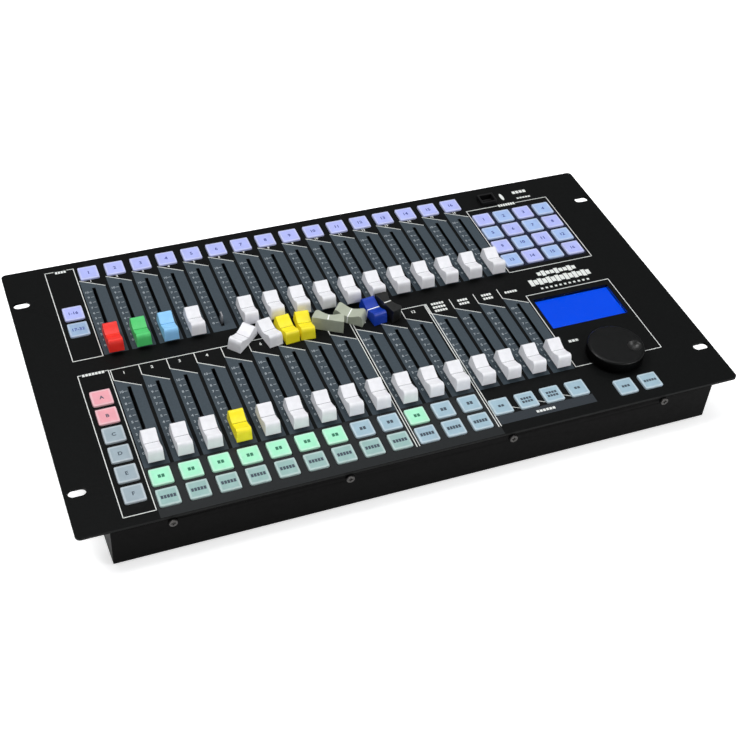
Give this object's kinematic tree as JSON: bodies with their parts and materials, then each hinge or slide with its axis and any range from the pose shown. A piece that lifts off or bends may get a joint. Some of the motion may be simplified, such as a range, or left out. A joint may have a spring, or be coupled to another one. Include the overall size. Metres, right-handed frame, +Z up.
{
  "type": "lighting control desk",
  "caption": "Sloping rack-width control desk with two banks of sliding faders, square keys, a display and a jog wheel, for running stage lights.",
  "frame": {"origin": "on the table, under the middle of the desk's outline", "axes": "+X to the operator's right, +Y to the rear, +Z up; the panel slopes up to the rear by 9.61 degrees"},
  "size_m": [0.4826, 0.2762, 0.0813],
  "materials": {
    "panel_black": "satin powder coat with white print",
    "case_black": "satin powder coat",
    "bare_steel": "bare plated steel",
    "screw_black": "black oxide",
    "foot_rubber": "matte",
    "board_green": "solder mask",
    "switch_black": "matte",
    "window_clear": "clear acrylic",
    "lcd_blue": "lit blue display",
    "wheel_black": "soft-touch matte",
    "socket_black": "matte",
    "rocker_black": "gloss",
    "ribbon_grey": "matte",
    "cap_white": "fine matte",
    "cap_red": "fine matte",
    "cap_green": "fine matte",
    "cap_sky": "fine matte",
    "cap_yellow": "fine matte",
    "cap_stone": "fine matte",
    "cap_blue": "fine matte",
    "cap_black": "fine matte",
    "key_lavender": "translucent silicone, printed",
    "key_grey": "translucent silicone, printed",
    "key_mint": "lit translucent silicone, printed",
    "key_pink": "lit translucent silicone, printed",
    "key_ice": "translucent silicone, printed",
    "print_white": "screen print",
    "print_slate": "screen print"
  },
  "bodies": {
    "desk": {"top_panel": "panel_black", "panel_rails": "bare_steel", "case_tray": "case_black", "case_screws": "screw_black", "rubber_feet": "foot_rubber", "slider_housings": "bare_steel", "control_boards": "board_green", "board_fixings": "bare_steel", "key_switches": "switch_black", "display_window": "window_clear", "display_module": "lcd_blue", "encoder_body": "bare_steel", "lamp_socket": "socket_black", "rear_sockets": "socket_black", "power_inlet": "socket_black", "switch_frame": "socket_black", "main_board": "board_green", "ribbon_cables": "ribbon_grey"},
    "wheel": {"jog_wheel": "wheel_black", "encoder_shaft": "bare_steel"},
    "rocker": {"power_rocker": "rocker_black"},
    "loose_caps": {"spare_caps": "cap_white"},
    "scene_keys_set": {"scene_keys": "key_lavender"},
    "select_keys_set": {"select_keys": "key_grey"},
    "keypad_keys_set": {"keypad_keys": "key_lavender"},
    "on_keys_set": {"on_keys": "key_mint"},
    "flash_keys_set": {"flash_keys": "key_grey"},
    "function_keys_set": {"function_keys": "key_ice"},
    "upper_01": {"fader_upper_01": "cap_red"},
    "upper_02": {"fader_upper_02": "cap_green"},
    "upper_03": {"fader_upper_03": "cap_sky"},
    "upper_04": {"fader_upper_04": "cap_white"},
    "upper_05": {"fader_upper_05": "bare_steel"},
    "upper_06": {"fader_upper_06": "cap_white"},
    "upper_07": {"fader_upper_07": "cap_white"},
    "upper_08": {"fader_upper_08": "cap_white"},
    "upper_09": {"fader_upper_09": "cap_white"},
    "upper_10": {"fader_upper_10": "cap_white"},
    "upper_11": {"fader_upper_11": "cap_white"},
    "upper_12": {"fader_upper_12": "cap_white"},
    "upper_13": {"fader_upper_13": "cap_white"},
    "upper_14": {"fader_upper_14": "cap_white"},
    "upper_15": {"fader_upper_15": "cap_white"},
    "upper_16": {"fader_upper_16": "cap_white"},
    "lower_01": {"fader_lower_01": "cap_white"},
    "lower_02": {"fader_lower_02": "cap_white"},
    "lower_03": {"fader_lower_03": "cap_white"},
    "lower_04": {"fader_lower_04": "cap_yellow"},
    "lower_05": {"fader_lower_05": "cap_white"},
    "lower_06": {"fader_lower_06": "cap_white"},
    "lower_07": {"fader_lower_07": "cap_white"},
    "lower_08": {"fader_lower_08": "cap_white"},
    "lower_09": {"fader_lower_09": "cap_white"},
    "lower_10": {"fader_lower_10": "cap_white"},
    "lower_11": {"fader_lower_11": "cap_white"},
    "lower_12": {"fader_lower_12": "cap_white"},
    "lower_13": {"fader_lower_13": "cap_white"},
    "lower_14": {"fader_lower_14": "cap_white"},
    "lower_15": {"fader_lower_15": "cap_white"},
    "lower_16": {"fader_lower_16": "cap_white"}
  },
  "joints": [
    {"name": "wheel_turn", "type": "hinge", "parent": "desk", "child": "wheel", "pos_m": [0.165, -0.08961, 0.04863], "axis": [0, -0.1669, 0.986], "continuous": true},
    {"name": "power_rock", "type": "hinge", "parent": "desk", "child": "rocker", "pos_m": [0.18, 0.12901, 0.04202], "axis": [-1, 0, 0], "range_deg": [0, 20]},
    {"name": "loose_caps_lift", "type": "slide", "parent": "desk", "child": "loose_caps", "axis": [0, -0.1669, 0.986], "range_m": [0, 0.05]},
    {"name": "scene_key_press", "type": "slide", "parent": "desk", "child": "scene_keys_set", "axis": [0, 0.1669, -0.986], "range_m": [0, 0.001], "stiffness_N_per_m": 600, "springref_m": -0.001},
    {"name": "select_key_press", "type": "slide", "parent": "desk", "child": "select_keys_set", "axis": [0, 0.1669, -0.986], "range_m": [0, 0.001], "stiffness_N_per_m": 600, "springref_m": -0.001},
    {"name": "keypad_key_press", "type": "slide", "parent": "desk", "child": "keypad_keys_set", "axis": [0, 0.1669, -0.986], "range_m": [0, 0.001], "stiffness_N_per_m": 600, "springref_m": -0.001},
    {"name": "on_key_press", "type": "slide", "parent": "desk", "child": "on_keys_set", "axis": [0, 0.1669, -0.986], "range_m": [0, 0.001], "stiffness_N_per_m": 600, "springref_m": -0.001},
    {"name": "flash_key_press", "type": "slide", "parent": "desk", "child": "flash_keys_set", "axis": [0, 0.1669, -0.986], "range_m": [0, 0.001], "stiffness_N_per_m": 600, "springref_m": -0.001},
    {"name": "function_key_press", "type": "slide", "parent": "desk", "child": "function_keys_set", "axis": [0, 0.1669, -0.986], "range_m": [0, 0.001], "stiffness_N_per_m": 600, "springref_m": -0.001},
    {"name": "fader_upper_01_slide", "type": "slide", "parent": "desk", "child": "upper_01", "axis": [0, 0.986, 0.1669], "range_m": [0, 0.06]},
    {"name": "fader_upper_02_slide", "type": "slide", "parent": "desk", "child": "upper_02", "axis": [0, 0.986, 0.1669], "range_m": [0, 0.06]},
    {"name": "fader_upper_03_slide", "type": "slide", "parent": "desk", "child": "upper_03", "axis": [0, 0.986, 0.1669], "range_m": [0, 0.06]},
    {"name": "fader_upper_04_slide", "type": "slide", "parent": "desk", "child": "upper_04", "axis": [0, 0.986, 0.1669], "range_m": [0, 0.06]},
    {"name": "fader_upper_05_slide", "type": "slide", "parent": "desk", "child": "upper_05", "axis": [0, 0.986, 0.1669], "range_m": [0, 0.06]},
    {"name": "fader_upper_06_slide", "type": "slide", "parent": "desk", "child": "upper_06", "axis": [0, 0.986, 0.1669], "range_m": [0, 0.06]},
    {"name": "fader_upper_07_slide", "type": "slide", "parent": "desk", "child": "upper_07", "axis": [0, 0.986, 0.1669], "range_m": [0, 0.06]},
    {"name": "fader_upper_08_slide", "type": "slide", "parent": "desk", "child": "upper_08", "axis": [0, 0.986, 0.1669], "range_m": [0, 0.06]},
    {"name": "fader_upper_09_slide", "type": "slide", "parent": "desk", "child": "upper_09", "axis": [0, 0.986, 0.1669], "range_m": [0, 0.06]},
    {"name": "fader_upper_10_slide", "type": "slide", "parent": "desk", "child": "upper_10", "axis": [0, 0.986, 0.1669], "range_m": [0, 0.06]},
    {"name": "fader_upper_11_slide", "type": "slide", "parent": "desk", "child": "upper_11", "axis": [0, 0.986, 0.1669], "range_m": [0, 0.06]},
    {"name": "fader_upper_12_slide", "type": "slide", "parent": "desk", "child": "upper_12", "axis": [0, 0.986, 0.1669], "range_m": [0, 0.06]},
    {"name": "fader_upper_13_slide", "type": "slide", "parent": "desk", "child": "upper_13", "axis": [0, 0.986, 0.1669], "range_m": [0, 0.06]},
    {"name": "fader_upper_14_slide", "type": "slide", "parent": "desk", "child": "upper_14", "axis": [0, 0.986, 0.1669], "range_m": [0, 0.06]},
    {"name": "fader_upper_15_slide", "type": "slide", "parent": "desk", "child": "upper_15", "axis": [0, 0.986, 0.1669], "range_m": [0, 0.06]},
    {"name": "fader_upper_16_slide", "type": "slide", "parent": "desk", "child": "upper_16", "axis": [0, 0.986, 0.1669], "range_m": [0, 0.06]},
    {"name": "fader_lower_01_slide", "type": "slide", "parent": "desk", "child": "lower_01", "axis": [0, 0.986, 0.1669], "range_m": [0, 0.06]},
    {"name": "fader_lower_02_slide", "type": "slide", "parent": "desk", "child": "lower_02", "axis": [0, 0.986, 0.1669], "range_m": [0, 0.06]},
    {"name": "fader_lower_03_slide", "type": "slide", "parent": "desk", "child": "lower_03", "axis": [0, 0.986, 0.1669], "range_m": [0, 0.06]},
    {"name": "fader_lower_04_slide", "type": "slide", "parent": "desk", "child": "lower_04", "axis": [0, 0.986, 0.1669], "range_m": [0, 0.06]},
    {"name": "fader_lower_05_slide", "type": "slide", "parent": "desk", "child": "lower_05", "axis": [0, 0.986, 0.1669], "range_m": [0, 0.06]},
    {"name": "fader_lower_06_slide", "type": "slide", "parent": "desk", "child": "lower_06", "axis": [0, 0.986, 0.1669], "range_m": [0, 0.06]},
    {"name": "fader_lower_07_slide", "type": "slide", "parent": "desk", "child": "lower_07", "axis": [0, 0.986, 0.1669], "range_m": [0, 0.06]},
    {"name": "fader_lower_08_slide", "type": "slide", "parent": "desk", "child": "lower_08", "axis": [0, 0.986, 0.1669], "range_m": [0, 0.06]},
    {"name": "fader_lower_09_slide", "type": "slide", "parent": "desk", "child": "lower_09", "axis": [0, 0.986, 0.1669], "range_m": [0, 0.06]},
    {"name": "fader_lower_10_slide", "type": "slide", "parent": "desk", "child": "lower_10", "axis": [0, 0.986, 0.1669], "range_m": [0, 0.06]},
    {"name": "fader_lower_11_slide", "type": "slide", "parent": "desk", "child": "lower_11", "axis": [0, 0.986, 0.1669], "range_m": [0, 0.06]},
    {"name": "fader_lower_12_slide", "type": "slide", "parent": "desk", "child": "lower_12", "axis": [0, 0.986, 0.1669], "range_m": [0, 0.06]},
    {"name": "fader_lower_13_slide", "type": "slide", "parent": "desk", "child": "lower_13", "axis": [0, 0.986, 0.1669], "range_m": [0, 0.06]},
    {"name": "fader_lower_14_slide", "type": "slide", "parent": "desk", "child": "lower_14", "axis": [0, 0.986, 0.1669], "range_m": [0, 0.06]},
    {"name": "fader_lower_15_slide", "type": "slide", "parent": "desk", "child": "lower_15", "axis": [0, 0.986, 0.1669], "range_m": [0, 0.06]},
    {"name": "fader_lower_16_slide", "type": "slide", "parent": "desk", "child": "lower_16", "axis": [0, 0.986, 0.1669], "range_m": [0, 0.06]}
  ]
}
